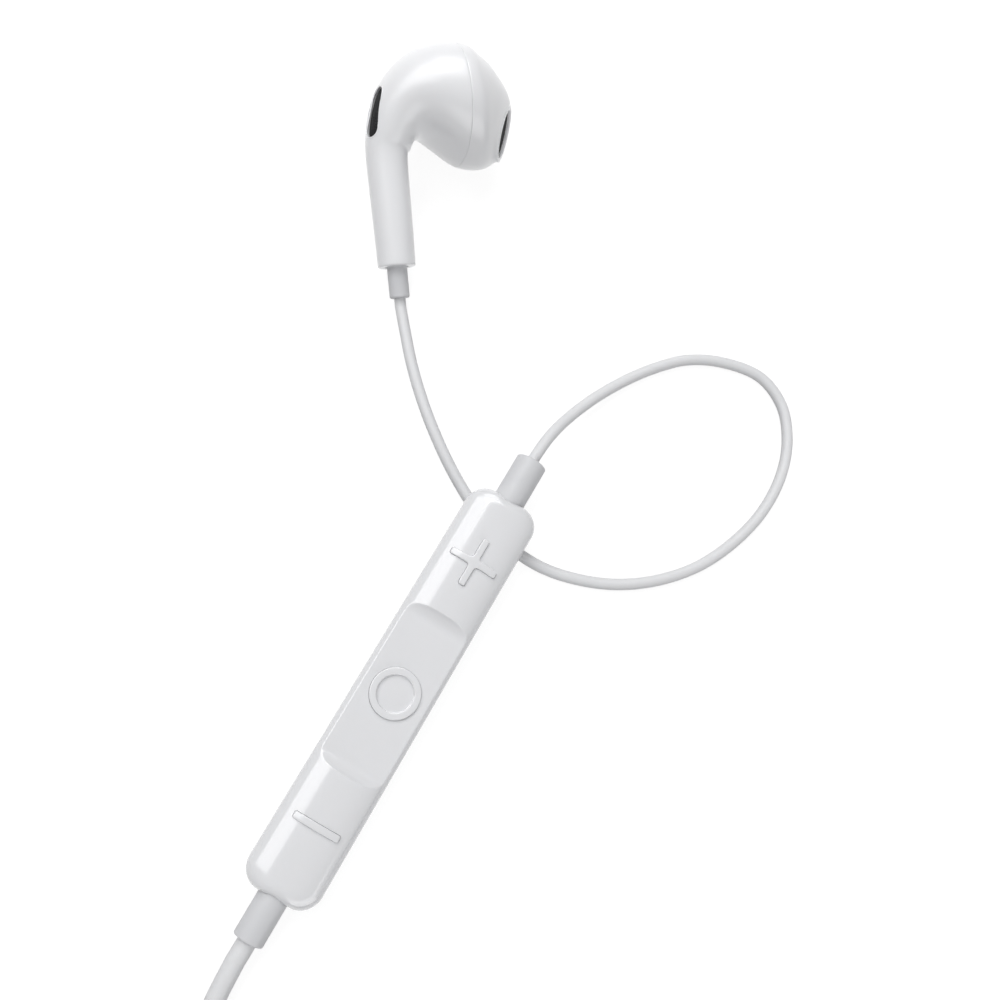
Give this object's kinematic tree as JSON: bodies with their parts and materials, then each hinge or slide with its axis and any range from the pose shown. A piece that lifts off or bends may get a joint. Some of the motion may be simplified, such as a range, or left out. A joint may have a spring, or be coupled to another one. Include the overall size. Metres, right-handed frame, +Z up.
{
  "type": "wired earphones",
  "caption": "Wired earphones laid out flat: earbuds with J-shaped stems, an in-line remote with a finger dish, a splitter, coiled cords and a 3.5 mm plug.",
  "frame": {"origin": "on the table, under the middle of the box round the two earbuds and the remote", "axes": "+Z up from the table; +Y along the layout, from the plug's end towards the right earbud; +X to the right seen from above"},
  "size_m": [0.0682, 0.2018, 0.014],
  "materials": {
    "shell_white": "high gloss",
    "cord_white": "soft satin",
    "mesh_grey": "fine woven mesh",
    "copper_wire": "enamelled wire",
    "cone_film": "thin formed film",
    "driver_steel": "pressed",
    "board": "solder mask",
    "chip_black": "matt",
    "insulator": "satin",
    "contact_metal": "polished"
  },
  "bodies": {
    "cord_and_cases": {"right_rear_housing": "shell_white", "right_front_cap": "shell_white", "right_port_mesh": "mesh_grey", "right_vent_mesh": "mesh_grey", "right_driver_frame": "driver_steel", "right_driver_yoke": "driver_steel", "right_driver_magnet": "driver_steel", "right_driver_top_plate": "driver_steel", "right_driver_cover": "driver_steel", "right_sleeve": "cord_white", "left_rear_housing": "shell_white", "left_front_cap": "shell_white", "left_port_mesh": "mesh_grey", "left_vent_mesh": "mesh_grey", "left_driver_frame": "driver_steel", "left_driver_yoke": "driver_steel", "left_driver_magnet": "driver_steel", "left_driver_top_plate": "driver_steel", "left_driver_cover": "driver_steel", "left_sleeve": "cord_white", "remote_back_shell": "shell_white", "remote_front_cover": "shell_white", "key_switches": "driver_steel", "circuit_board": "board", "control_chip": "chip_black", "microphone": "driver_steel", "upper_sleeve": "cord_white", "lower_sleeve": "cord_white", "splitter_body": "shell_white", "splitter_sleeve": "cord_white", "plug_tip": "contact_metal", "plug_first_ring": "contact_metal", "plug_second_ring": "contact_metal", "plug_barrel": "contact_metal", "plug_insulator": "insulator", "plug_grip": "shell_white", "plug_relief": "cord_white", "right_cord": "cord_white", "remote_cord": "cord_white", "remote_coil": "cord_white", "splitter_cord": "cord_white", "left_lead": "cord_white", "left_coil": "cord_white", "left_cord": "cord_white", "main_lead": "cord_white", "main_coil": "cord_white", "plug_cord": "cord_white", "coil_ties": "cord_white"},
    "plus_key": {"plus_key": "shell_white", "plus_plunger": "chip_black"},
    "play_key": {"play_key": "shell_white", "play_plunger": "chip_black"},
    "minus_key": {"minus_key": "shell_white", "minus_plunger": "chip_black"},
    "right_cone": {"right_voice_coil": "copper_wire", "right_diaphragm": "cone_film"},
    "left_cone": {"left_voice_coil": "copper_wire", "left_diaphragm": "cone_film"}
  },
  "joints": [
    {"name": "plus_press", "type": "slide", "parent": "cord_and_cases", "child": "plus_key", "axis": [0.0163, 0.0283, -0.9995], "range_m": [0, 0.00025], "stiffness_N_per_m": 600},
    {"name": "play_press", "type": "slide", "parent": "cord_and_cases", "child": "play_key", "axis": [0.0163, 0.0283, -0.9995], "range_m": [0, 0.00025], "stiffness_N_per_m": 600},
    {"name": "minus_press", "type": "slide", "parent": "cord_and_cases", "child": "minus_key", "axis": [0.0163, 0.0283, -0.9995], "range_m": [0, 0.00025], "stiffness_N_per_m": 600},
    {"name": "right_cone_slide", "type": "slide", "parent": "cord_and_cases", "child": "right_cone", "axis": [0.9736, 0.2034, -0.1032], "range_m": [-0.0001, 0.0001], "stiffness_N_per_m": 100},
    {"name": "left_cone_slide", "type": "slide", "parent": "cord_and_cases", "child": "left_cone", "axis": [0.1092, 0.9887, -0.1032], "range_m": [-0.0001, 0.0001], "stiffness_N_per_m": 100}
  ]
}
